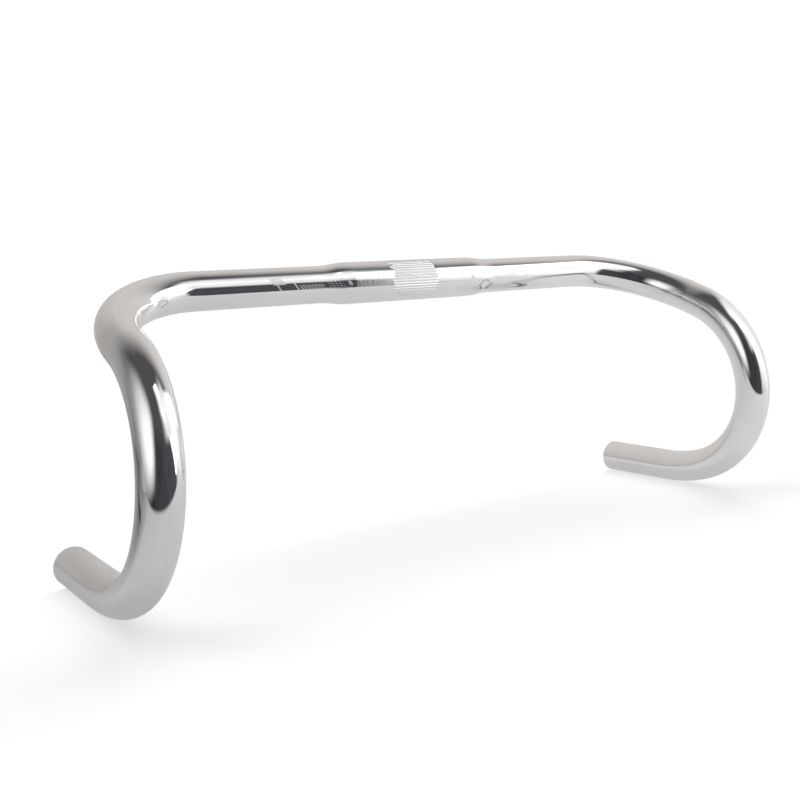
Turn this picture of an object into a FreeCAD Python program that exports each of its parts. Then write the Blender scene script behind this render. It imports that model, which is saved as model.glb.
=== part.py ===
import FreeCAD, Part
import math
import os

from FreeCAD import Vector

# Drop handlebar for a bicycle: bent tube, inner clamp sleeve and two end plugs.
#
# Frame: the origin is the centre of the stem clamp zone. +X runs along the tops to the rider's left,
# -Y is the riding direction and +Z is up, with the two bar ends level. Lengths are in millimetres
# and angles in degrees. The bar is symmetric about the plane X = 0.

# Tube sections
tube_diameter = 22.2            # grip and lever size
tube_wall = 2.0
clamp_diameter = 25.4           # stem clamp size
clamp_wall = 2.2
clamp_length = 91.0             # full-diameter middle, shoulder to shoulder
shoulder_length = 21.0          # S-shaped reduction on each side of the middle

# Bend line of one half, from the centre outwards
tops_half_length = 144.0        # straight, from the centre to the first bend
tops_bend_radius = 64.5
ramp_yaw = 87.1                 # the ramp turns this far from the tops towards the front
ramp_slope = 20.9               # and falls this much below the horizontal
ramp_length = 6.0
hook_radius = 63.2              # main arc of the hook
hook_turn = 143.5
lower_hook_radius = 110.0       # wider arc that runs out into the bar end
tail_length = 53.5
tail_toe_in = 1.3               # the bar ends lean towards each other going back
end_rounding = 0.3              # deburred outer edge of the cut tube

# Grooved band rolled into the clamp zone
knurl_start = -18.0
knurl_end = 16.0
groove_count = 48
groove_width = 1.0
groove_depth = 0.3

# Clamp liner
liner_length = 82.0
liner_wall = 1.5
liner_bite = 0.02               # press fit, added to the liner's radius
liner_chamfer = 0.6

# End plugs
plug_cap_radius = 10.2          # the cap stops short of the tube's outside
plug_cap_thickness = 1.2
plug_cap_rounding = 0.9
plug_cap_gap = 0.05             # between cap and tube end
plug_dish_radius = 7.0          # shallow dish in the cap's face
plug_dish_depth = 0.4
plug_stem_length = 24.0
plug_stem_radius = 6.6
plug_stem_wall = 1.6
rib_count = 4
rib_pitch = 5.0
rib_first = 4.0                 # from the cap to the first rib's wide edge
rib_length = 3.4
rib_edge = 0.5                  # width of the rib's rim
rib_clearance = 0.05            # radial, between rib rim and tube bore
slot_width = 2.0
slot_length = 15.0

tube_radius = tube_diameter / 2
bore_radius = tube_radius - tube_wall
clamp_radius = clamp_diameter / 2
clamp_bore_radius = clamp_radius - clamp_wall
clamp_half = clamp_length / 2
shoulder_end = clamp_half + shoulder_length


def turned(direction, axis, angle):
    """The direction turned about the axis by an angle in degrees."""
    return FreeCAD.Rotation(axis, angle).multVec(direction)


class BendLine:
    """A path of straight runs and tangent arcs, kept as edges with its end point and heading."""

    def __init__(self, start, heading):
        self.point = start
        self.heading = heading
        self.edges = []

    def run(self, length):
        end = self.point + self.heading * length
        self.edges.append(Part.LineSegment(self.point, end).toShape())
        self.point = end

    def turn(self, axis, radius, angle):
        centre = self.point + axis.cross(self.heading) * radius
        arm = self.point - centre
        middle = centre + turned(arm, axis, angle / 2)
        end = centre + turned(arm, axis, angle)
        self.edges.append(Part.Arc(self.point, middle, end).toShape())
        self.point = end
        self.heading = turned(self.heading, axis, angle)

    def length(self):
        return sum(edge.Length for edge in self.edges)


def half_bend_line():
    """The bend line of the +X half, from the end of the shoulder to the bar's end."""
    path = BendLine(Vector(shoulder_end, 0, 0), Vector(1, 0, 0))
    yaw = math.radians(ramp_yaw)
    slope = math.radians(ramp_slope)
    toe = math.radians(tail_toe_in)
    ramp = Vector(math.cos(yaw) * math.cos(slope), -math.sin(yaw) * math.cos(slope), -math.sin(slope))
    tail = Vector(-math.sin(toe), math.cos(toe), 0)

    path.run(tops_half_length - shoulder_end)
    tops_axis = path.heading.cross(ramp).normalize()
    path.turn(tops_axis, tops_bend_radius, math.degrees(path.heading.getAngle(ramp)))
    path.run(ramp_length)

    hook_axis = path.heading.cross(tail).normalize()
    whole_turn = math.degrees(path.heading.getAngle(tail))
    path.turn(hook_axis, hook_radius, hook_turn)
    path.turn(hook_axis, lower_hook_radius, whole_turn - hook_turn)
    path.run(tail_length)
    return path


def mirrored(shape):
    """The same shape on the other side of the plane X = 0."""
    return shape.mirror(Vector(0, 0, 0), Vector(1, 0, 0))


def swept_tube(edges):
    """A hollow tube of the plain section along the edges."""
    start = edges[0].Vertexes[0].Point
    heading = Vector(1, 0, 0)
    pipes = []
    for radius in (tube_radius, bore_radius):
        circle = Part.Wire([Part.makeCircle(radius, start, heading)])
        pipes.append(Part.Wire(edges).makePipeShell([circle], True, False))
    return pipes[0].cut(pipes[1])


def shoulder_edges(inner_radius, outer_radius, from_x, to_x):
    """Two equal tangent arcs from (from_x, inner_radius) to (to_x, outer_radius) in the XY plane."""
    half_length = (to_x - from_x) / 2
    half_rise = (outer_radius - inner_radius) / 2
    arc_radius = (half_length ** 2 + half_rise ** 2) / (2 * abs(half_rise))
    side = math.copysign(1, half_rise)
    half_angle = math.asin(abs(half_length) / arc_radius) / 2
    reach = math.copysign(arc_radius * math.sin(half_angle), half_length)
    sagitta = side * arc_radius * (1 - math.cos(half_angle))
    start = Vector(from_x, inner_radius, 0)
    middle = Vector(from_x + half_length, inner_radius + half_rise, 0)
    end = Vector(to_x, outer_radius, 0)
    first = Part.Arc(start, Vector(from_x + reach, inner_radius + sagitta, 0), middle).toShape()
    second = Part.Arc(middle, Vector(to_x - reach, outer_radius - sagitta, 0), end).toShape()
    return [first, second]


def line(x1, r1, x2, r2):
    return Part.LineSegment(Vector(x1, r1, 0), Vector(x2, r2, 0)).toShape()


def revolved(edges):
    """The solid that the closed outline sweeps about the X axis."""
    face = Part.Face(Part.Wire(edges))
    return face.revolve(Vector(0, 0, 0), Vector(1, 0, 0), 360)


def clamp_zone():
    """The thick middle with its two shoulders, hollow, before the grooves are rolled."""
    outside = [line(-clamp_half, clamp_radius, clamp_half, clamp_radius)]
    outside = shoulder_edges(tube_radius, clamp_radius, -shoulder_end, -clamp_half) + outside
    outside = outside + shoulder_edges(clamp_radius, tube_radius, clamp_half, shoulder_end)
    inside = shoulder_edges(bore_radius, clamp_bore_radius, shoulder_end, clamp_half)
    inside = inside + [line(clamp_half, clamp_bore_radius, -clamp_half, clamp_bore_radius)]
    inside = inside + shoulder_edges(clamp_bore_radius, bore_radius, -clamp_half, -shoulder_end)
    right_end = line(shoulder_end, tube_radius, shoulder_end, bore_radius)
    left_end = line(-shoulder_end, bore_radius, -shoulder_end, tube_radius)
    return revolved(outside + [right_end] + inside + [left_end])


def knurl_grooves():
    """The V-shaped grooves of the rolled band, as solids to cut away."""
    # The cutter stands one groove depth proud of the surface, so it is twice as wide there.
    outside_radius = clamp_radius + groove_depth
    half_width = groove_width
    corners = [
        Vector(knurl_start, 0, clamp_radius - groove_depth),
        Vector(knurl_start, half_width, outside_radius),
        Vector(knurl_start, -half_width, outside_radius),
    ]
    section = Part.Face(Part.makePolygon(corners + corners[:1]))
    groove = section.extrude(Vector(knurl_end - knurl_start, 0, 0))
    grooves = []
    for index in range(groove_count):
        cutter = groove.copy()
        cutter.rotate(Vector(0, 0, 0), Vector(1, 0, 0), (index + 0.5) * 360 / groove_count)
        grooves.append(cutter)
    return Part.makeCompound(grooves)


def handlebar_tube(bend_line):
    """The bent tube: middle, two swept halves, rolled grooves and deburred ends."""
    half = swept_tube(bend_line.edges)
    bar = clamp_zone().fuse([half, mirrored(half)])
    bar = bar.cut(knurl_grooves())
    rims = [edge for edge in bar.Edges if is_outer_rim(edge, bend_line.point)]
    return bar.makeFillet(end_rounding, rims)


def is_outer_rim(edge, bar_end):
    """Whether the edge is the outer circle of either cut end."""
    if not isinstance(edge.Curve, Part.Circle):
        return False
    centre = edge.Curve.Center
    at_end = Vector(abs(centre.x), centre.y, centre.z).distanceToPoint(bar_end) < 0.01
    return at_end and abs(edge.Curve.Radius - tube_radius) < 0.001


def clamp_liner():
    """The inner sleeve, pressed in before the tube is reduced on both sides of it."""
    outer = clamp_bore_radius + liner_bite
    inner = clamp_bore_radius - liner_wall
    half = liner_length / 2
    flat = half - liner_chamfer
    outline = [
        line(-flat, outer, flat, outer),
        line(flat, outer, half, outer - liner_chamfer),
        line(half, outer - liner_chamfer, half, inner),
        line(half, inner, -half, inner),
        line(-half, inner, -half, outer - liner_chamfer),
        line(-half, outer - liner_chamfer, -flat, outer),
    ]
    return revolved(outline)


def plug_outline():
    """Half section of a plug about the X axis. X = 0 is the tube's end, +X points out of the bar."""
    cap_back = plug_cap_gap
    cap_front = plug_cap_gap + plug_cap_thickness
    rim_corner = cap_front - plug_cap_rounding
    rim_radius = plug_cap_radius - plug_cap_rounding
    diagonal = plug_cap_rounding * math.sqrt(0.5)
    hollow_radius = plug_stem_radius - plug_stem_wall
    rib_radius = bore_radius - rib_clearance

    edges = [line(cap_back, plug_stem_radius, cap_back, plug_cap_radius)]
    edges.append(line(cap_back, plug_cap_radius, rim_corner, plug_cap_radius))
    rounding = Part.Arc(
        Vector(rim_corner, plug_cap_radius, 0),
        Vector(rim_corner + diagonal, rim_radius + diagonal, 0),
        Vector(cap_front, rim_radius, 0),
    )
    edges.append(rounding.toShape())
    dish_face = cap_front - plug_dish_depth
    dish_corner = plug_dish_radius - plug_dish_depth
    edges.append(line(cap_front, rim_radius, cap_front, plug_dish_radius))
    edges.append(line(cap_front, plug_dish_radius, dish_face, dish_corner))
    edges.append(line(dish_face, dish_corner, dish_face, 0))
    edges.append(line(dish_face, 0, 0, 0))
    edges.append(line(0, 0, 0, hollow_radius))
    edges.append(line(0, hollow_radius, -plug_stem_length, hollow_radius))
    edges.append(line(-plug_stem_length, hollow_radius, -plug_stem_length, plug_stem_radius))

    x = -plug_stem_length
    for index in reversed(range(rib_count)):
        wide = -(rib_first + index * rib_pitch)
        narrow = wide - rib_length
        edges.append(line(x, plug_stem_radius, narrow, plug_stem_radius))
        edges.append(line(narrow, plug_stem_radius, wide - rib_edge, rib_radius))
        edges.append(line(wide - rib_edge, rib_radius, wide, rib_radius))
        edges.append(line(wide, rib_radius, wide, plug_stem_radius))
        x = wide
    edges.append(line(x, plug_stem_radius, cap_back, plug_stem_radius))
    return edges


def end_plug(bend_line):
    """The push-in plug at the +X bar end: cap, and hollow ribbed stem with two crossed slots."""
    plug = revolved(plug_outline())
    for turn in (0, 90):
        slot = Part.makeBox(slot_length, tube_diameter, slot_width)
        slot.translate(Vector(-plug_stem_length, -tube_radius, -slot_width / 2))
        slot.rotate(Vector(0, 0, 0), Vector(1, 0, 0), turn)
        plug = plug.cut(slot)
    facing = FreeCAD.Rotation(Vector(1, 0, 0), bend_line.heading)
    plug.Placement = FreeCAD.Placement(bend_line.point, facing)
    return plug


def main():
    os.makedirs("parts", exist_ok=True)
    bend_line = half_bend_line()
    plug = end_plug(bend_line)
    nodes = {
        "handlebar_tube": handlebar_tube(bend_line),
        "clamp_liner": clamp_liner(),
        "left_end_plug": plug,
        "right_end_plug": mirrored(plug),
    }
    for name, shape in nodes.items():
        shape.exportStep(f"parts/{name}.step")
        print(f"{name}: {len(shape.Solids)} solid, valid {shape.isValid()}, {shape.Volume:.0f} mm3")

    print(f"bar ends, centre to centre: {2 * bend_line.point.x:.1f} mm, level {bend_line.point.z:.1f} mm")
    print(f"length along the tube: {2 * (shoulder_end + bend_line.length()):.1f} mm")


main()
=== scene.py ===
"""Looks of the drop handlebar: a polished aluminium tube with a rolled middle, two moulded end plugs
and an inner sleeve, in a white studio.

Lengths are in metres and angles in degrees, unless a comment says otherwise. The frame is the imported
model's: the origin is the centre of the stem clamp zone, +X runs along the tops to the rider's left,
-Y is forward and +Z is up.
"""

import math

import bpy
import numpy as np
from mathutils import Matrix, Vector


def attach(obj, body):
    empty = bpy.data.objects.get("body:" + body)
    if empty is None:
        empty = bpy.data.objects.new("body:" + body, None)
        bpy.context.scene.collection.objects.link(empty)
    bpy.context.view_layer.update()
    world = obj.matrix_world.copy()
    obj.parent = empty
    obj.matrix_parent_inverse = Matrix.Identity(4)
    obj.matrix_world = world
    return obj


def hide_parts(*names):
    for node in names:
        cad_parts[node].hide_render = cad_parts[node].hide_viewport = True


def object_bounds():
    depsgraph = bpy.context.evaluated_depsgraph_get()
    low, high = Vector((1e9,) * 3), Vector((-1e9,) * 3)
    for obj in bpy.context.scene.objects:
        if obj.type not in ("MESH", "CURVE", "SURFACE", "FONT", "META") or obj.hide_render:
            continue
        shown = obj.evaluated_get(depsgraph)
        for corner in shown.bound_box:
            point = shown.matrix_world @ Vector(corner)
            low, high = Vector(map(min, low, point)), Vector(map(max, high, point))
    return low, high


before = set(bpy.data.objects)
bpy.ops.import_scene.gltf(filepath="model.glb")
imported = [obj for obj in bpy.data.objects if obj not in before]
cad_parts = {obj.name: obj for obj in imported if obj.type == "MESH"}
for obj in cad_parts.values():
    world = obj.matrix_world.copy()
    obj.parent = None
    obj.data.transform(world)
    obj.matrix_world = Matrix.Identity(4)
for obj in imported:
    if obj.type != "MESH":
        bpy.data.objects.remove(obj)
cad_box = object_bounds()

# Tube sections
TUBE_RADIUS = 0.0111
BORE_RADIUS = 0.0091
CLAMP_RADIUS = 0.0127
CLAMP_BORE_RADIUS = 0.0105
CLAMP_HALF = 0.0455
SHOULDER_LENGTH = 0.021

# Bend line of one half, from the centre outwards
TOPS_HALF_LENGTH = 0.144
TOPS_BEND_RADIUS = 0.0645
RAMP_YAW = 87.1
RAMP_SLOPE = 20.9
RAMP_LENGTH = 0.006
HOOK_RADIUS = 0.0632
HOOK_TURN = 143.5
LOWER_HOOK_RADIUS = 0.110
TAIL_LENGTH = 0.0535
TAIL_TOE_IN = 1.3
RIM_ROUNDING = 0.0003
BORE_EDGE_ROUNDING = 0.0002

# Grooved band
KNURL_START = -0.018
KNURL_END = 0.016
GROOVE_COUNT = 48
GROOVE_WIDTH = 0.0010
GROOVE_DEPTH = 0.0003
GROOVE_RAMP = 0.0012
GROOVE_RAGGEDNESS = 0.0011
RAGGEDNESS_SEED = 7
RIDGE_LEAN = 0.95  # slope of the rounded ridge at the edge of a groove

# Mesh density
STRAIGHT_STEP = 0.004
ARC_STEP = 2.0
GROOVE_END_STEP = 0.0003
SHOULDER_STEP = 0.0007
RIM_STEPS = 5
BORE_EDGE_STEPS = 3

# Colours of the object
DULL_ALUMINIUM = (0.885, 0.885, 0.89, 1)
BRIGHT_ALUMINIUM = (0.93, 0.93, 0.93, 1)
MARK_COLOUR = (0.86, 0.86, 0.86, 1)
KNURL_COLOUR = (0.98, 0.98, 0.975, 1)
MILL_COLOURS = ((0.62, 0.62, 0.63, 1), (0.72, 0.72, 0.72, 1))
PLUG_COLOURS = ((0.50, 0.495, 0.485, 1), (0.56, 0.555, 0.545, 1))

# Roughness of the object
POLISH_ROUGHNESS = 0.035
POLISH_UNEVENNESS = 0.02  # what the polishing lines add at most, and as much again the clouds
MARK_ROUGHNESS = 0.45
KNURL_ROUGHNESS = 0.35
TURNED_ROUGHNESS = 0.05
MILL_ROUGHNESS = (0.32, 0.5)
PLUG_ROUGHNESS = (0.34, 0.46)

# Heights of the relief in the materials
WAVE_DEPTH = 0.00003
POLISHING_LINE_DEPTH = 0.0000008
TURNED_DEPTH = 0.00004
MILL_GRAIN_DEPTH = 0.00001
PLUG_GRAIN_DEPTH = 0.00002

# Noise scales, per metre
CLOUD_SCALE = 45
WAVE_SCALE = 30
MILL_PATCH_SCALE = 120
LINER_LINE_SCALES = (60, 4000, 4000)
PLUG_GRAIN_SCALE = 2600
PLUG_FLOW_SCALE = 90

# Noise scales, per millimetre along the tube and per millimetre round it
POLISHING_LINE_SCALES = (0.04, 6)
WIPE_SCALES = (0.015, 0.5)

# Noise scales, per millimetre along the tube and per degree round it
TURNED_RING_SCALES = (2.5, 0.01)
DIE_LINE_SCALES = (0.05, 0.8)

MOST_NOISE = (0.3, 0.7)  # the range in which most of a noise's values lie
MIDDLE_NOISE = (0.35, 0.65)
SATIN_ONSET = (0.05, 0.6)  # share of the full groove depth over which the satin finish sets in

# Places of the turned rings and of the frosted marks beside the grooved band. Runs and pitches are in
# millimetres from the centre, angles in degrees round the tube (0 on top, 90 in front), and shares say
# which part of each pitch is frosted. Each run, angle and share is given as from, to and soft edge.
TURNED_RUN = (17.5, 46, 2)
MARKS_OFFSET = 2.5  # the marks are centred this far towards -X
MARKS_LEAN = 0.14  # millimetres of lean for each degree round the tube
BLOCK_RUN = (89.4, 97.6, 0.4)
BLOCK_ANGLES = (63, 83.5, 1.5)
BAR_RUNS = ((94.7, 95.9, 0.3), (83.0, 84.2, 0.3))
BAR_ANGLES = (80, 101, 1.5)
HATCH_RUN = (65.5, 81.5, 0.3)
HATCH_ANGLES = (86.5, 98, 1.5)
HATCH_LEAN = 0.11
HATCH_PITCH = 2.2
HATCH_SHARE = (0.25, 0.7, 0.2)
DOTS_RUN = (51.8, 61.4, 0.3)
DOTS_ANGLES = (79, 98, 1.5)
DOT_PITCH = 2.4
DOT_ANGLE = 6.5
DOT_SHARE = (0.25, 0.75, 0.2)
DASHES_RUN = (47.5, 81.5, 0.3)
DASHES_ANGLES = (98.5, 101, 1.0)
DASH_PITCH = 1.6
DASH_SHARE = (0.15, 0.85, 0.15)
PLATE_RUN = (46.2, 48.4, 0.4)
PLATE_ANGLES = (82, 94, 1.5)

# Studio: glowing panels round the bar, seen only in its reflections. Each has its name, centre, yaw
# (0 faces along Y), backward tilt and size, and then its colour, strength, the widths of the fades at its
# sides and at its top and bottom, and how much the strength grows towards +across and towards its top.
NEUTRAL = (1.0, 1.0, 1.0)
COOL = (1.0, 0.987, 1.013)
WARM = (1.036, 0.996, 0.968)
CREAM = (1.019, 0.992, 0.989)
BROWN = (1.05, 0.90, 0.86)
OCHRE = (1.06, 0.93, 0.74)
PANELS = (
    ("left_flag", (-0.33, 0.01, 0.3), -39.5, -7.0, (0.47, 0.94),
     NEUTRAL, 0.08, (0.45, 0.04), (0.79, 0.8)),
    ("right_panel", (2.528, 0.674, 0.087), 154.9, 22.5, (5.09, 0.73),
     NEUTRAL, 3.3, (0.08, 0.12), (-0.62, 0.31)),
    ("high_panel", (2.5, -2.11, 0.15), 124.0, 76.5, (1.02, 5.99),
     COOL, 2.04, (0.29, 0.3), (0.15, -0.58)),
    ("back_panel", (-1.34, 1.03, 0.17), 20.0, 35.5, (5.87, 2.03),
     WARM, 0.49, (0.1, 0.8), (0.44, 0.05)),
    ("left_panel", (-0.79, -0.2, 0.32), -87.0, 17.0, (1.53, 1.32),
     CREAM, 0.99, (0.6, 0.54), (-0.68, -0.8)),
    ("front_panel", (0.39, -0.87, 1.26), -15.0, 7.5, (1.02, 2.17),
     NEUTRAL, 1.46, (0.49, 0.16), (-0.23, 0.5)),
    ("side_panel", (0.92, -0.62, 0.0), 40.5, 46.5, (1.77, 1.04),
     NEUTRAL, 1.49, (0.03, 0.51), (0.49, 0.63)),
    ("table_edge", (-0.47, 0.16, -0.143), 68.5, 0.0, (0.42, 0.032),
     BROWN, 0.10, (0.06, 0.008), (0.0, 0.0)),
    ("table_lip", (-0.40, 0.09, -0.152), 72.0, 0.0, (0.26, 0.016),
     OCHRE, 0.34, (0.05, 0.006), (0.0, 0.0)),
)
LEAST_GLOW = 0.02  # share of a panel's strength that is left where its slopes would take it all

# Floor, as the object's reflections see it, with painted light along its slopes and a painted shadow under
# the hooks
REFLECTED_FLOOR_YAW = 14.0
REFLECTED_FLOOR_FRONT = -0.35
REFLECTED_FLOOR_FADE = 0.05
REFLECTED_FLOOR_GLOW = 0.61
REFLECTED_FLOOR_COLOUR = (1.014, 0.994, 0.992)
# painted light: how much the floor's glow grows along X and along Y
REFLECTED_FLOOR_SLOPES = (0.47, -0.17)
HOOK_SHADE = 0.18  # painted shadow: how much of the floor's glow is lost close under the hooks
HOOK_SHADE_SIDEWAYS = (0.185, 0.245, 0.05)  # from, to and soft edge, on both sides of the centre
HOOK_SHADE_LENGTHWAYS = (-0.10, 0.05, 0.08)

# Floor, as the camera sees it, and the lamps that throw the soft shadow on it
FLOOR_GAP = 0.0006
FLOOR_SIZE = 60
FLOOR_COLOUR = (0.9, 0.9, 0.9, 1)
FLOOR_GLOW = 0.47
FLOOR_LAMPS = 5
FLOOR_LAMP_STRENGTH = 0.40
FLOOR_LAMP_ANGLE = 42.0
FLOOR_LAMP_SPACING = 22.0
FLOOR_LAMP_LEAN = -12.0

# Surroundings: white for the camera, a dark room for the object's reflections
BACKDROP_STRENGTH = 1.05
ROOM_DARK = (0.024, 0.020, 0.024)
ROOM_LIGHT = (0.098, 0.092, 0.104)
ROOM_CLUTTER_SCALE = 4
ROOM_LIGHTER_SIDE = 0.35  # share of the step from dark to light that the +X side is ahead of the middle
CEILING_COLOUR = (0.080, 0.077, 0.081)
CEILING_ELEVATIONS = (20, 45)

# Camera
CAMERA_PLACE = (-0.3835, -0.5262, 0.0149)
CAMERA_YAW = 35.49
CAMERA_PITCH = 8.0
CAMERA_ROLL = -2.16
CAMERA_SENSOR = 36  # millimetres, as is the lens
CAMERA_LENS = 45.94


# ---------------------------------------------------------------- bend line

class BendLine:
    """A path of straight runs and tangent arcs. It keeps a station for each ring of the tube."""

    def __init__(self):
        self.point = Vector((0, 0, 0))
        self.heading = Vector((1, 0, 0))
        self.up = Vector((0, 0, 1))
        self.along = 0.0
        self.stations = [(self.along, self.point, self.heading, self.up)]

    def keep(self):
        """Keeps the end of the path so far as a station."""
        self.stations.append((self.along, self.point.copy(), self.heading.copy(), self.up.copy()))

    def run(self, length, step):
        """Goes straight on, with stations a step apart at most."""
        count = max(1, math.ceil(length / step - 1e-6))
        for _ in range(count):
            self.point = self.point + self.heading * (length / count)
            self.along += length / count
            self.keep()

    def turn(self, axis, radius, angle):
        """Goes on along an arc that turns about an axis by an angle."""
        count = math.ceil(angle / ARC_STEP)
        part = Matrix.Rotation(math.radians(angle / count), 3, axis)
        for _ in range(count):
            centre = self.point + axis.cross(self.heading) * radius
            self.point = centre + part @ (self.point - centre)
            self.heading = (part @ self.heading).normalized()
            self.up = (part @ self.up).normalized()
            self.along += math.radians(angle / count) * radius
            self.keep()


def half_bend_line():
    """Stations of the +X half, from the centre to the cut end."""
    yaw = math.radians(RAMP_YAW)
    slope = math.radians(RAMP_SLOPE)
    toe = math.radians(TAIL_TOE_IN)
    ramp = Vector((
        math.cos(yaw) * math.cos(slope),
        -math.sin(yaw) * math.cos(slope),
        -math.sin(slope),
    ))
    tail = Vector((-math.sin(toe), math.cos(toe), 0))

    path = BendLine()
    path.run(KNURL_END - GROOVE_RAMP - GROOVE_RAGGEDNESS, STRAIGHT_STEP)
    path.run(-KNURL_START + GROOVE_RAGGEDNESS - path.along, GROOVE_END_STEP)
    path.run(CLAMP_HALF - path.along, STRAIGHT_STEP)
    path.run(SHOULDER_LENGTH, SHOULDER_STEP)
    path.run(TOPS_HALF_LENGTH - path.along, STRAIGHT_STEP)
    tops_axis = path.heading.cross(ramp).normalized()
    path.turn(tops_axis, TOPS_BEND_RADIUS, math.degrees(path.heading.angle(ramp)))
    path.run(RAMP_LENGTH, STRAIGHT_STEP)
    hook_axis = path.heading.cross(tail).normalized()
    whole_turn = math.degrees(path.heading.angle(tail))
    path.turn(hook_axis, HOOK_RADIUS, HOOK_TURN)
    path.turn(hook_axis, LOWER_HOOK_RADIUS, whole_turn - HOOK_TURN)
    path.run(TAIL_LENGTH, STRAIGHT_STEP)
    return path.stations


def full_bend_line():
    """Stations from the -X end to the +X end. The distance along the tube counts from the centre."""
    half = half_bend_line()
    mirror = Vector((-1, 1, 1))
    mirrored = []
    for along, point, heading, up in half[:0:-1]:
        mirrored.append((-along, point * mirror, (heading * mirror) * -1, up * mirror))
    return mirrored + half


# ---------------------------------------------------------------- tube surface

def shoulder_profile(distance, high, low):
    """Radius and slope of the S-shaped shoulder at a distance from the clamp zone's edge."""
    half = SHOULDER_LENGTH / 2
    drop = (high - low) / 2
    arc = (half ** 2 + drop ** 2) / (2 * drop)
    if distance <= 0:
        return high, 0.0
    if distance >= SHOULDER_LENGTH:
        return low, 0.0
    if distance <= half:
        rise = math.sqrt(arc ** 2 - distance ** 2)
        return high - arc + rise, -distance / rise
    rest = SHOULDER_LENGTH - distance
    rise = math.sqrt(arc ** 2 - rest ** 2)
    return low + arc - rise, -rest / rise


def section_angles():
    """Angles round the tube: the edges and the bottom of each groove, and the middle of each land."""
    pitch = math.tau / GROOVE_COUNT
    half_groove = GROOVE_WIDTH / 2 / CLAMP_RADIUS
    offsets = [0, pitch / 2 - half_groove, pitch / 2, pitch / 2 + half_groove]
    return np.array([pitch * groove + offset for groove in range(GROOVE_COUNT) for offset in offsets])


def groove_shares(along, starts, ends):
    """Share of the full depth that each groove has at a distance along the tube.

    Each groove starts and ends on its own ramp.
    """
    run = np.minimum(along - starts, ends - along) / GROOVE_RAMP
    share = np.clip(run, 0.0, 1.0)
    return share * share * (3 - 2 * share)


def rolled_shares(shares):
    """How much each point round the tube is marked by rolling.

    The middle of a land takes the deeper of the two grooves beside it.
    """
    rolled = np.repeat(shares, 4)
    rolled[::4] = np.maximum(shares, np.roll(shares, 1))
    return rolled


class RingMesh:
    """Points in rings of equal count, joined into one closed skin."""

    def __init__(self, angles):
        self.angles = angles
        self.points = []
        self.normals = []
        self.alongs = []
        self.slots = []
        self.rolled = []

    def ring(self, station, radii, normal_along, normal_out, slot, offset=0.0, rolled=0.0, lean=0.0):
        """Adds a ring round a station.

        Its radii, how much it is rolled, and how much its normals lean round the tube may differ from
        point to point.
        """
        along, centre, heading, up = station
        centre = np.array(centre + heading * offset)
        side = np.array(heading.cross(up))
        up = np.array(up)
        cosines = np.cos(self.angles)
        sines = np.sin(self.angles)
        out = np.outer(cosines, up) + np.outer(sines, side)
        onward = np.outer(cosines, side) - np.outer(sines, up)
        self.points.append(centre + out * np.reshape(radii, (-1, 1)))
        normal = out * normal_out + np.array(heading) * normal_along
        normal = normal + onward * np.reshape(lean, (-1, 1))
        self.normals.append(normal / np.linalg.norm(normal, axis=1, keepdims=True))
        self.alongs.append(along + offset)
        self.slots.append(slot)
        self.rolled.append(np.full(len(self.angles), rolled))

    def build(self, name):
        """The mesh object. Its UV map holds metres along the tube and the share of a turn round it."""
        rings = len(self.points)
        count = len(self.angles)
        mesh = bpy.data.meshes.new(name)
        ring = np.arange(rings)[:, None]
        step = np.arange(count)[None, :]
        next_ring = (ring + 1) % rings
        next_step = (step + 1) % count
        corners = np.stack([
            ring * count + step,
            ring * count + next_step,
            next_ring * count + next_step,
            next_ring * count + step,
        ], axis=-1).reshape(-1, 4)
        mesh.from_pydata(np.concatenate(self.points).tolist(), [], corners.tolist())

        turn = np.append(self.angles / math.tau, 1.0)
        alongs = np.array(self.alongs)
        lows = np.broadcast_to(alongs[:, None], (rings, count))
        highs = np.broadcast_to(np.roll(alongs, -1)[:, None], (rings, count))
        near = np.broadcast_to(turn[:-1], (rings, count))
        far = np.broadcast_to(turn[1:], (rings, count))
        uv = np.stack([lows, near, lows, far, highs, far, highs, near], axis=-1)
        layer = mesh.uv_layers.new(name="AlongAround")
        layer.data.foreach_set("uv", uv.astype(np.float32).ravel())
        rolled = mesh.attributes.new("Rolled", "FLOAT", "POINT")
        rolled.data.foreach_set("value", np.concatenate(self.rolled).astype(np.float32))
        slots = np.repeat(np.array(self.slots, np.int32), count)
        mesh.polygons.foreach_set("material_index", slots)
        mesh.polygons.foreach_set("use_smooth", np.ones(len(corners), bool))
        mesh.update()

        mesh.normals_split_custom_set_from_vertices(np.concatenate(self.normals).tolist())
        piece = bpy.data.objects.new(name, mesh)
        bpy.context.scene.collection.objects.link(piece)
        return piece


def add_rim(skin, station, outward, outside, bore):
    """Rings of a cut end: rounded outer edge, flat face and rounded bore edge."""
    for step in range(1, RIM_STEPS + 1):
        turn = math.pi / 2 * step / RIM_STEPS
        radius = TUBE_RADIUS - RIM_ROUNDING * (1 - math.cos(turn))
        offset = -RIM_ROUNDING * (1 - math.sin(turn))
        skin.ring(station, radius, outward * math.sin(turn), math.cos(turn), outside, offset * outward)
    for step in range(BORE_EDGE_STEPS + 1):
        turn = math.pi / 2 * step / BORE_EDGE_STEPS
        radius = BORE_RADIUS + BORE_EDGE_ROUNDING * (1 - math.sin(turn))
        offset = -BORE_EDGE_ROUNDING * (1 - math.cos(turn))
        skin.ring(station, radius, outward * math.cos(turn), -math.sin(turn), bore, offset * outward)


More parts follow.
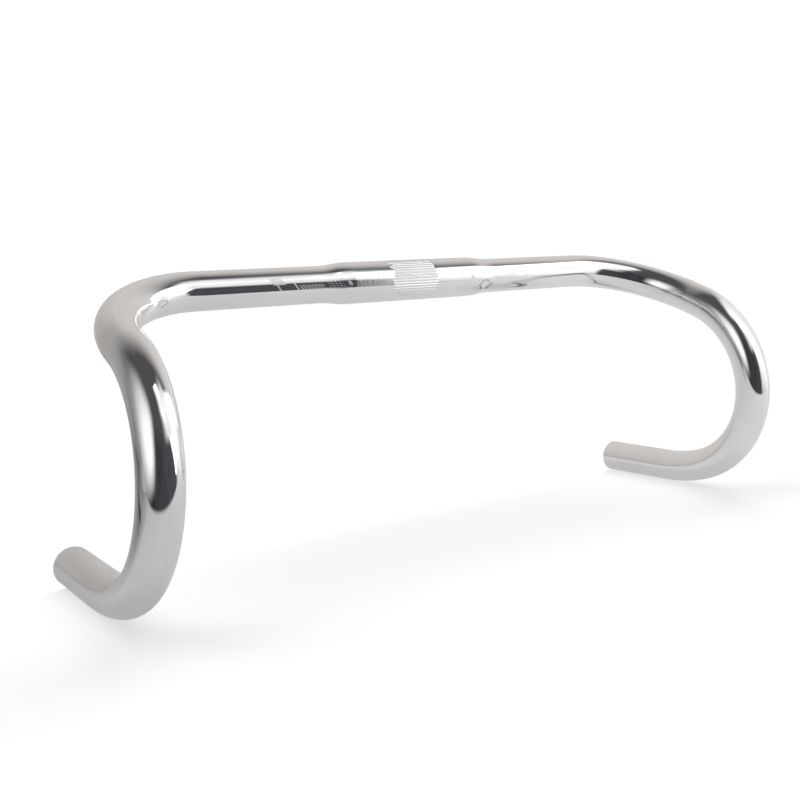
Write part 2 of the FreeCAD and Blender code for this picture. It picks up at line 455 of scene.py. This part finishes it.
def handlebar_tube(stations):
    """The whole tube as one closed skin: outside, both rims and the bore."""
    rng = np.random.default_rng(RAGGEDNESS_SEED)
    starts = KNURL_START + rng.uniform(-1, 1, GROOVE_COUNT) * GROOVE_RAGGEDNESS
    ends = KNURL_END + rng.uniform(-1, 1, GROOVE_COUNT) * GROOVE_RAGGEDNESS
    angles = section_angles()
    skin = RingMesh(angles)
    outside, bore = 0, 1

    for index, station in enumerate(stations):
        along = station[0]
        radius, slope = shoulder_profile(abs(along) - CLAMP_HALF, CLAMP_RADIUS, TUBE_RADIUS)
        shares = groove_shares(along, starts, ends)
        radii = np.full(len(angles), radius)
        radii[2::4] -= GROOVE_DEPTH * shares
        lean = np.zeros(len(angles))
        lean[1::4] = RIDGE_LEAN * shares
        lean[3::4] = -RIDGE_LEAN * shares
        offset = 0.0
        if index == 0:
            offset = RIM_ROUNDING
        if index == len(stations) - 1:
            offset = -RIM_ROUNDING
        normal_along = -slope * math.copysign(1, along)
        skin.ring(station, radii, normal_along, 1.0, outside, offset, rolled_shares(shares), lean)
    add_rim(skin, stations[-1], 1, outside, bore)

    for station in stations[-2:0:-2]:
        along = station[0]
        radius, slope = shoulder_profile(abs(along) - CLAMP_HALF, CLAMP_BORE_RADIUS, BORE_RADIUS)
        skin.ring(station, radius, slope * math.copysign(1, along), -1.0, bore)
    rim_start = len(skin.points)
    add_rim(skin, stations[0], -1, outside, bore)
    for rows in (skin.points, skin.normals, skin.alongs, skin.slots, skin.rolled):
        rows[rim_start:] = rows[rim_start:][::-1]
    return skin.build("handlebar_tube_polished")


# ---------------------------------------------------------------- material helpers

class Graph:
    """The node graph of a material or a world, with short calls for the nodes used here."""

    def __init__(self, owner, output="ShaderNodeOutputMaterial"):
        self.owner = owner
        self.owner.use_nodes = True
        self.tree = self.owner.node_tree
        self.tree.nodes.clear()
        self.output = self.tree.nodes.new(output)

    def node(self, kind, inputs=None, **settings):
        """A new node. Its inputs are given by name or by number, as a value or as another node's output."""
        node = self.tree.nodes.new(kind)
        for name, value in settings.items():
            setattr(node, name, value)
        for name, value in (inputs or {}).items():
            self.feed(node.inputs[name], value)
        return node

    def feed(self, socket, value):
        """Sets an input to a value, or links it to another node's output."""
        if isinstance(value, bpy.types.NodeSocket):
            self.tree.links.new(value, socket)
        else:
            socket.default_value = value

    def finish(self, shader):
        """Ends the graph with a shader node, and gives back its material or world."""
        self.tree.links.new(shader.outputs[0], self.output.inputs["Surface"])
        return self.owner

    def math(self, operation, *values):
        """The result of a math operation on values or outputs."""
        node = self.tree.nodes.new("ShaderNodeMath")
        node.operation = operation
        for socket, value in zip(node.inputs, values):
            self.feed(socket, value)
        return node.outputs[0]

    def smooth(self, value, low, high, to_low=0.0, to_high=1.0):
        """The value's share between low and high, eased, mapped to another range."""
        inputs = {
            "Value": value,
            "From Min": low,
            "From Max": high,
            "To Min": to_low,
            "To Max": to_high,
        }
        return self.node("ShaderNodeMapRange", inputs, interpolation_type="SMOOTHSTEP").outputs[0]

    def window(self, value, low, high, edge):
        """1 between low and high and 0 outside, with soft edges."""
        rise = self.smooth(value, low - edge / 2, low + edge / 2)
        fall = self.smooth(value, high - edge / 2, high + edge / 2, 1.0, 0.0)
        return self.math("MULTIPLY", rise, fall)

    def stripes(self, value, pitch, share):
        """1 in a share of each pitch and 0 in the rest. The share is from, to and soft edge."""
        return self.window(self.math("FRACT", self.math("DIVIDE", value, pitch)), *share)

    def both(self, first, second):
        return self.math("MULTIPLY", first, second)

    def either(self, *masks):
        total = masks[0]
        for mask in masks[1:]:
            total = self.math("MAXIMUM", total, mask)
        return total

    def noise(self, vector, scale, detail=2.0, roughness=0.5):
        inputs = {"Vector": vector, "Scale": scale, "Detail": detail, "Roughness": roughness}
        return self.node("ShaderNodeTexNoise", inputs).outputs["Fac"]

    def scaled_noise(self, parts, scales, detail):
        """Noise with its own scale along each part of the place."""
        scaled = [self.math("MULTIPLY", part, scale) for part, scale in zip(parts, scales)]
        return self.noise(self.combine(*scaled), 1, detail)

    def combine(self, x, y, z=0.0):
        return self.node("ShaderNodeCombineXYZ", {"X": x, "Y": y, "Z": z}).outputs[0]

    def separate(self, vector):
        return self.node("ShaderNodeSeparateXYZ", {"Vector": vector}).outputs

    def blend(self, share, first, second):
        """A number between first and second."""
        return self.node("ShaderNodeMix", {0: share, 2: first, 3: second}, data_type="FLOAT").outputs[0]

    def blend_colour(self, share, first, second):
        return self.node("ShaderNodeMix", {0: share, 6: first, 7: second}, data_type="RGBA").outputs[2]

    def blend_shader(self, share, first, second):
        """The shader node that mixes two shaders' outputs."""
        return self.node("ShaderNodeMixShader", {0: share, 1: first, 2: second})

    def bump(self, height, distance, normal=None):
        inputs = {"Height": height, "Distance": distance, "Strength": 1.0}
        if normal is not None:
            inputs["Normal"] = normal
        return self.node("ShaderNodeBump", inputs).outputs[0]

    def principled(self, **inputs):
        names = {name.replace("_", " "): value for name, value in inputs.items()}
        return self.finish(self.node("ShaderNodeBsdfPrincipled", names))


def material_graph(name):
    return Graph(bpy.data.materials.new(name))


def tube_coordinates(graph):
    """Distance along the tube in millimetres, and angle round it in degrees (0 on top, 90 in front)."""
    parts = graph.separate(graph.node("ShaderNodeUVMap", uv_map="AlongAround").outputs[0])
    along = graph.math("MULTIPLY", parts[0], 1000)
    around = graph.math("MULTIPLY", parts[1], 360)
    return along, around


# ---------------------------------------------------------------- materials of the object

def printed_marks(graph, along, around):
    """Mask of the plain frosted marks beside the grooved band.

    They are the same on both sides of the band, and lean a little round the tube.
    """
    lean = graph.math("MULTIPLY", graph.math("SUBTRACT", around, 90.0), MARKS_LEAN)
    leaned = graph.math("SUBTRACT", along, lean)
    from_centre = graph.math("ABSOLUTE", graph.math("ADD", leaned, MARKS_OFFSET))

    def area(run, angles):
        return graph.both(graph.window(from_centre, *run), graph.window(around, *angles))

    block = area(BLOCK_RUN, BLOCK_ANGLES)
    bars = [area(run, BAR_ANGLES) for run in BAR_RUNS]

    slant = graph.math("ADD", from_centre, graph.math("MULTIPLY", around, HATCH_LEAN))
    hatch = graph.stripes(slant, HATCH_PITCH, HATCH_SHARE)
    hatch = graph.both(hatch, area(HATCH_RUN, HATCH_ANGLES))

    columns = graph.stripes(from_centre, DOT_PITCH, DOT_SHARE)
    lines = graph.stripes(around, DOT_ANGLE, DOT_SHARE)
    dots = graph.both(graph.both(columns, lines), area(DOTS_RUN, DOTS_ANGLES))

    dashes = graph.stripes(from_centre, DASH_PITCH, DASH_SHARE)
    dashes = graph.both(dashes, area(DASHES_RUN, DASHES_ANGLES))

    plate = area(PLATE_RUN, PLATE_ANGLES)
    return graph.either(block, *bars, hatch, dots, dashes, plate)


def polished_aluminium():
    """The outside of the tube: polished, with a satin rolled band and frosted marks.

    Polishing lines, clouds, wiping marks and a slight waviness break up the polish, and fine turned
    rings lie on each side of the band.
    """
    graph = material_graph("polished_aluminium")
    along, around = tube_coordinates(graph)
    arc = graph.math("MULTIPLY", around, math.radians(TUBE_RADIUS * 1000))
    position = graph.node("ShaderNodeTexCoord").outputs["Object"]
    marks = printed_marks(graph, along, around)
    rolled = graph.node("ShaderNodeAttribute", attribute_name="Rolled").outputs["Fac"]
    knurl = graph.smooth(rolled, *SATIN_ONSET)
    turned = graph.window(graph.math("ABSOLUTE", along), *TURNED_RUN)

    lines = graph.scaled_noise((along, arc), POLISHING_LINE_SCALES, 3)
    clouds = graph.noise(position, CLOUD_SCALE, 3)
    roughness = graph.math(
        "ADD",
        graph.smooth(lines, *MOST_NOISE, 0.0, POLISH_UNEVENNESS),
        graph.smooth(clouds, *MOST_NOISE, 0.0, POLISH_UNEVENNESS),
    )
    roughness = graph.math("ADD", roughness, POLISH_ROUGHNESS)
    roughness = graph.math("ADD", roughness, graph.math("MULTIPLY", turned, TURNED_ROUGHNESS))
    roughness = graph.blend(marks, roughness, MARK_ROUGHNESS)
    roughness = graph.blend(knurl, roughness, KNURL_ROUGHNESS)

    wipes = graph.scaled_noise((along, arc), WIPE_SCALES, 3)
    tint = graph.math("ADD", graph.smooth(clouds, *MIDDLE_NOISE), graph.smooth(wipes, *MIDDLE_NOISE))
    tint = graph.math("MULTIPLY", tint, 0.5)
    colour = graph.blend_colour(tint, DULL_ALUMINIUM, BRIGHT_ALUMINIUM)
    colour = graph.blend_colour(marks, colour, MARK_COLOUR)
    colour = graph.blend_colour(knurl, colour, KNURL_COLOUR)

    wave = graph.noise(position, WAVE_SCALE, 1)
    rings = graph.scaled_noise((along, around), TURNED_RING_SCALES, 2)
    normal = graph.bump(wave, WAVE_DEPTH)
    normal = graph.bump(lines, POLISHING_LINE_DEPTH, normal)
    normal = graph.bump(graph.both(rings, turned), TURNED_DEPTH, normal)
    return graph.principled(Base_Color=colour, Metallic=1.0, Roughness=roughness, Normal=normal)


def mill_aluminium(name, in_tube):
    """Unpolished drawn aluminium, with die lines along the tube or along X."""
    graph = material_graph(name)
    position = graph.node("ShaderNodeTexCoord").outputs["Object"]
    if in_tube:
        grain = graph.scaled_noise(tube_coordinates(graph), DIE_LINE_SCALES, 4)
    else:
        grain = graph.scaled_noise(graph.separate(position), LINER_LINE_SCALES, 4)
    patches = graph.noise(position, MILL_PATCH_SCALE, 3)
    colour = graph.blend_colour(graph.smooth(patches, *MOST_NOISE), *MILL_COLOURS)
    roughness = graph.smooth(grain, *MOST_NOISE, *MILL_ROUGHNESS)
    normal = graph.bump(grain, MILL_GRAIN_DEPTH)
    return graph.principled(Base_Color=colour, Metallic=1.0, Roughness=roughness, Normal=normal)


def plug_plastic():
    """Silver-grey moulded plastic with a fine spark-eroded grain."""
    graph = material_graph("plug_plastic")
    position = graph.node("ShaderNodeTexCoord").outputs["Object"]
    grain = graph.noise(position, PLUG_GRAIN_SCALE, 2)
    flow = graph.noise(position, PLUG_FLOW_SCALE, 3)
    colour = graph.blend_colour(graph.smooth(flow, *MOST_NOISE), *PLUG_COLOURS)
    roughness = graph.smooth(grain, *MOST_NOISE, *PLUG_ROUGHNESS)
    normal = graph.bump(grain, PLUG_GRAIN_DEPTH)
    return graph.principled(Base_Color=colour, Metallic=0.0, Roughness=roughness, Normal=normal)


# ---------------------------------------------------------------- studio

def rectangle(name, centre, across, upward, width, height):
    """A flat stage rectangle whose UV map counts metres from its corner."""
    corners = []
    for x, y in ((-0.5, -0.5), (0.5, -0.5), (0.5, 0.5), (-0.5, 0.5)):
        corners.append(centre + across * (x * width) + upward * (y * height))
    mesh = bpy.data.meshes.new(name)
    mesh.from_pydata([tuple(corner) for corner in corners], [], [(0, 1, 2, 3)])
    layer = mesh.uv_layers.new(name="Metres")
    for loop, uv in zip(layer.data, ((0, 0), (width, 0), (width, height), (0, height))):
        loop.uv = uv
    surface = bpy.data.objects.new(name, mesh)
    bpy.context.scene.collection.objects.link(surface)
    return surface


def level_rectangle(name, height):
    """A wide stage rectangle that lies level at a height."""
    centre = Vector((0, 0, height))
    return rectangle(name, centre, Vector((1, 0, 0)), Vector((0, 1, 0)), FLOOR_SIZE, FLOOR_SIZE)


def show_in_reflections_only(surface):
    surface.visible_camera = False
    surface.visible_diffuse = False
    surface.visible_shadow = False


def glow(graph, colour, strength, share):
    """A surface that glows where share is 1 and is clear where share is 0."""
    inputs = {"Color": (*colour, 1), "Strength": strength}
    emission = graph.node("ShaderNodeEmission", inputs).outputs[0]
    clear = graph.node("ShaderNodeBsdfTransparent").outputs[0]
    return graph.finish(graph.blend_shader(share, clear, emission))


def sloped(graph, strength, places, slopes):
    """A strength that grows along each place, which runs from -1 to 1, by its slope."""
    total = 1.0
    for place, slope in zip(places, slopes):
        total = graph.math("ADD", graph.math("MULTIPLY", place, slope), total)
    return graph.math("MULTIPLY", graph.math("MAXIMUM", total, LEAST_GLOW), strength)


def reflected_panel(name, centre, yaw, tilt, size, colour, strength, fades, slopes):
    """A glowing panel that only the object's reflections see.

    It faces the yaw and leans back by the tilt.
    """
    yaw = math.radians(yaw)
    tilt = math.radians(tilt)
    facing = Vector((math.sin(yaw), math.cos(yaw), 0))
    across = Vector((math.cos(yaw), -math.sin(yaw), 0))
    upward = Vector((0, 0, 1)) * math.cos(tilt) - facing * math.sin(tilt)
    surface = rectangle(name, Vector(centre), across, upward, *size)
    show_in_reflections_only(surface)

    graph = material_graph(name)
    metres = graph.separate(graph.node("ShaderNodeUVMap", uv_map="Metres").outputs[0])
    shares = []
    places = []
    for distance, extent, fade in zip(metres, size, fades):
        from_edge = graph.math("MINIMUM", distance, graph.math("SUBTRACT", extent, distance))
        shares.append(graph.smooth(from_edge, 0, fade))
        places.append(graph.math("SUBTRACT", graph.math("MULTIPLY", distance, 2 / extent), 1.0))
    strength = sloped(graph, strength, places, slopes)
    surface.data.materials.append(glow(graph, colour, strength, graph.both(*shares)))


def reflected_floor(height):
    """The white table's glow as the object's reflections see it, ending in front of the bar, with painted
    light along its slopes and a painted shadow close under the hooks.
    """
    floor = level_rectangle("reflected_floor", height)
    show_in_reflections_only(floor)
    graph = material_graph("reflected_floor")
    x, y, _ = graph.separate(graph.node("ShaderNodeTexCoord").outputs["Object"])
    places = []
    for part in (x, y):
        places.append(graph.math("MAXIMUM", graph.math("MINIMUM", part, 1.0), -1.0))
    # painted light: the glow grows along X and Y by the slopes
    strength = sloped(graph, REFLECTED_FLOOR_GLOW, places, REFLECTED_FLOOR_SLOPES)

    # painted shadow: the glow is dimmed close under the hooks, where they would shade the floor
    painted_hook_shadow = graph.both(
        graph.window(graph.math("ABSOLUTE", x), *HOOK_SHADE_SIDEWAYS),
        graph.window(y, *HOOK_SHADE_LENGTHWAYS),
    )
    strength = graph.both(strength, graph.smooth(painted_hook_shadow, 0, 1, 1.0, 1 - HOOK_SHADE))

    yaw = math.radians(REFLECTED_FLOOR_YAW)
    sideways = graph.math("MULTIPLY", x, math.sin(yaw))
    backwards = graph.math("MULTIPLY", y, math.cos(yaw))
    from_front = graph.math("SUBTRACT", graph.math("ADD", sideways, backwards), REFLECTED_FLOOR_FRONT)
    share = graph.smooth(from_front, 0, REFLECTED_FLOOR_FADE)
    floor.data.materials.append(glow(graph, REFLECTED_FLOOR_COLOUR, strength, share))


def seen_floor(height):
    """The white floor of the camera's view, with the soft shadow of the bar on it."""
    graph = material_graph("floor")
    lit = graph.node("ShaderNodeBsdfDiffuse", {"Color": FLOOR_COLOUR}).outputs[0]
    own = graph.node("ShaderNodeEmission", {"Color": (1, 1, 1, 1), "Strength": FLOOR_GLOW}).outputs[0]
    floor = level_rectangle("floor", height)
    floor.data.materials.append(graph.finish(graph.node("ShaderNodeAddShader", {0: lit, 1: own})))
    floor.visible_glossy = False
    floor.visible_diffuse = False


def overhead_lamps():
    """A row of soft lamps over the bar, kept out of reflections, which light the floor and throw the bar's
    shadow on it.
    """
    for place in range(FLOOR_LAMPS):
        name = f"overhead_{place + 1}"
        lamp = bpy.data.lights.new(name, "SUN")
        lamp.energy = FLOOR_LAMP_STRENGTH
        lamp.angle = math.radians(FLOOR_LAMP_ANGLE)
        overhead = bpy.data.objects.new(name, lamp)
        spread = (place - (FLOOR_LAMPS - 1) / 2) * FLOOR_LAMP_SPACING
        overhead.rotation_euler = (math.radians(FLOOR_LAMP_LEAN), math.radians(spread), 0)
        overhead.visible_glossy = False
        overhead.visible_camera = False
        bpy.context.scene.collection.objects.link(overhead)


def make_world():
    """White behind the object for the camera, and a dark room for the object's reflections.

    The room is uneven, lighter on its +X side, and has a slightly lighter ceiling.
    """
    world = bpy.data.worlds.new("studio")
    graph = Graph(world, "ShaderNodeOutputWorld")
    direction = graph.node("ShaderNodeTexCoord").outputs["Generated"]
    x, _, z = graph.separate(direction)
    clutter = graph.noise(direction, ROOM_CLUTTER_SCALE, 3)
    lightness = graph.math("MULTIPLY_ADD", x, ROOM_LIGHTER_SIDE, clutter)
    walls = graph.blend_colour(lightness, (*ROOM_DARK, 1), (*ROOM_LIGHT, 1))
    low, high = [math.sin(math.radians(elevation)) for elevation in CEILING_ELEVATIONS]
    tone = graph.blend_colour(graph.smooth(z, low, high), walls, (*CEILING_COLOUR, 1))
    room = graph.node("ShaderNodeBackground", {"Color": tone}).outputs[0]
    white = {"Color": (1, 1, 1, 1), "Strength": BACKDROP_STRENGTH}
    backdrop = graph.node("ShaderNodeBackground", white).outputs[0]
    camera_ray = graph.node("ShaderNodeLightPath").outputs["Is Camera Ray"]
    graph.finish(graph.blend_shader(camera_ray, room, backdrop))
    bpy.context.scene.world = world


def make_studio():
    """White floor with its lamps, the panels round the bar, and the surroundings."""
    height = cad_box[0].z - FLOOR_GAP
    seen_floor(height)
    reflected_floor(height)
    for panel in PANELS:
        reflected_panel(*panel)
    overhead_lamps()
    make_world()


def make_camera():
    """The camera of the product view: ahead of the bar, to the rider's right, a little above it."""
    yaw = math.radians(CAMERA_YAW)
    pitch = math.radians(CAMERA_PITCH)
    roll = math.radians(CAMERA_ROLL)
    forward = Vector((
        math.sin(yaw) * math.cos(pitch),
        math.cos(yaw) * math.cos(pitch),
        -math.sin(pitch),
    ))
    level = Vector((math.cos(yaw), -math.sin(yaw), 0))
    above = level.cross(forward)
    across = level * math.cos(roll) + above * math.sin(roll)
    upward = above * math.cos(roll) - level * math.sin(roll)
    data = bpy.data.cameras.new("camera")
    data.sensor_width = CAMERA_SENSOR
    data.lens = CAMERA_LENS
    data.clip_start = 0.01
    data.clip_end = 100
    camera = bpy.data.objects.new("camera", data)
    turned = Matrix((across, upward, -forward)).transposed().to_4x4()
    camera.matrix_world = Matrix.Translation(CAMERA_PLACE) @ turned
    bpy.context.scene.collection.objects.link(camera)
    bpy.context.scene.camera = camera


# ---------------------------------------------------------------- assembly

def main():
    tube = handlebar_tube(full_bend_line())
    tube.data.materials.append(polished_aluminium())
    tube.data.materials.append(mill_aluminium("bore_aluminium", in_tube=True))
    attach(tube, "bar")
    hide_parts("handlebar_tube")

    liner_finish = mill_aluminium("mill_aluminium", in_tube=False)
    plug_finish = plug_plastic()
    finishes = {
        "clamp_liner": liner_finish,
        "left_end_plug": plug_finish,
        "right_end_plug": plug_finish,
    }
    for node, finish in finishes.items():
        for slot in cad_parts[node].material_slots:
            slot.material = finish

    make_studio()
    make_camera()
    bpy.context.scene.view_settings.view_transform = "Standard"


main()
